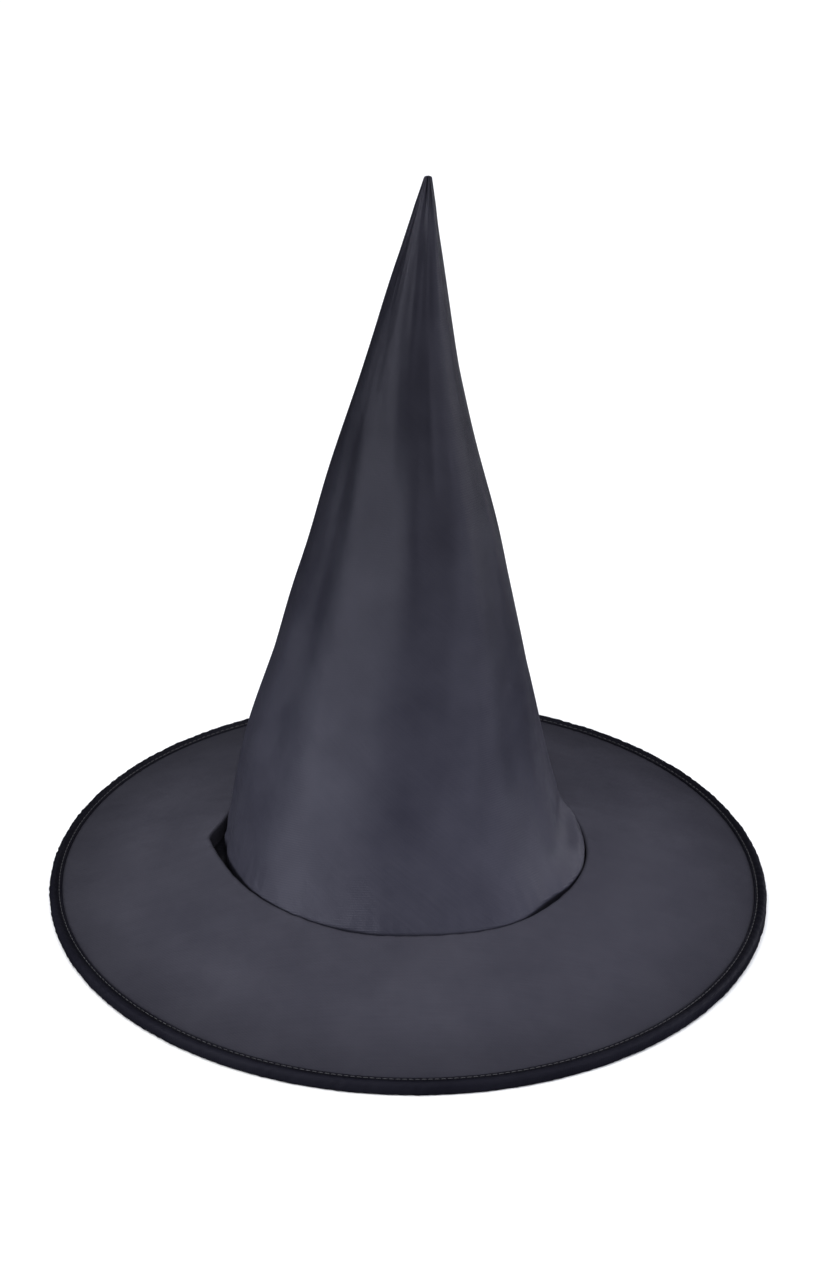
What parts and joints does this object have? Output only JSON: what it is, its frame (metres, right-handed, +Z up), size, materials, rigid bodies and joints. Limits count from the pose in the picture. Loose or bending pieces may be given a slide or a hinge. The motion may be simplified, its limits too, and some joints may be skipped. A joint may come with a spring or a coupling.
{
  "type": "witch hat",
  "caption": "Pointed cloth costume hat with a tall cone crown that bends and a wide round brim held open by a hoop.",
  "frame": {"origin": "centre of the brim's rim circle, on the surface that the hat stands on", "axes": "+Z up through the crown, +X to the wearer's left with the back seam on the +Y side"},
  "size_m": [0.3799, 0.38, 0.4063],
  "materials": {
    "hat_cloth": "satin",
    "stiffener": "matte",
    "seam_edges": "satin",
    "spring_steel": "drawn wire",
    "crimped_metal": "crimped",
    "binding_tape": "satin",
    "sewing_thread": "matte",
    "ribbon": "ribbed",
    "label_tape": "satin"
  },
  "bodies": {
    "base": {"crown_cloth_lower": "hat_cloth", "crown_stiffener_lower": "stiffener", "crown_seam_lower": "seam_edges", "brim_top_cloth": "hat_cloth", "brim_stiffener": "stiffener", "brim_under_cloth": "hat_cloth", "rim_hoop": "spring_steel", "hoop_sleeve": "crimped_metal", "rim_binding": "binding_tape", "binding_thread": "sewing_thread", "seam_allowance": "seam_edges", "crown_join_thread": "sewing_thread", "sweatband": "ribbon", "sweatband_thread": "sewing_thread", "care_label": "label_tape"},
    "middle_crown": {"crown_cloth_middle": "hat_cloth", "crown_stiffener_middle": "stiffener", "crown_seam_middle": "seam_edges"},
    "crown_top": {"crown_cloth_tip": "hat_cloth", "crown_stiffener_tip": "stiffener", "crown_seam_tip": "seam_edges"}
  },
  "joints": [
    {"name": "crown_bend", "type": "hinge", "parent": "base", "child": "middle_crown", "pos_m": [-0.0055, 0, 0.18], "axis": [0, 1, 0], "range_deg": [-45, 45], "stiffness_Nm_per_rad": 0.25},
    {"name": "tip_bend", "type": "hinge", "parent": "middle_crown", "child": "crown_top", "pos_m": [-0.00236, 0, 0.29996], "axis": [0, 1, 0], "range_deg": [-70, 70], "stiffness_Nm_per_rad": 0.06}
  ]
}
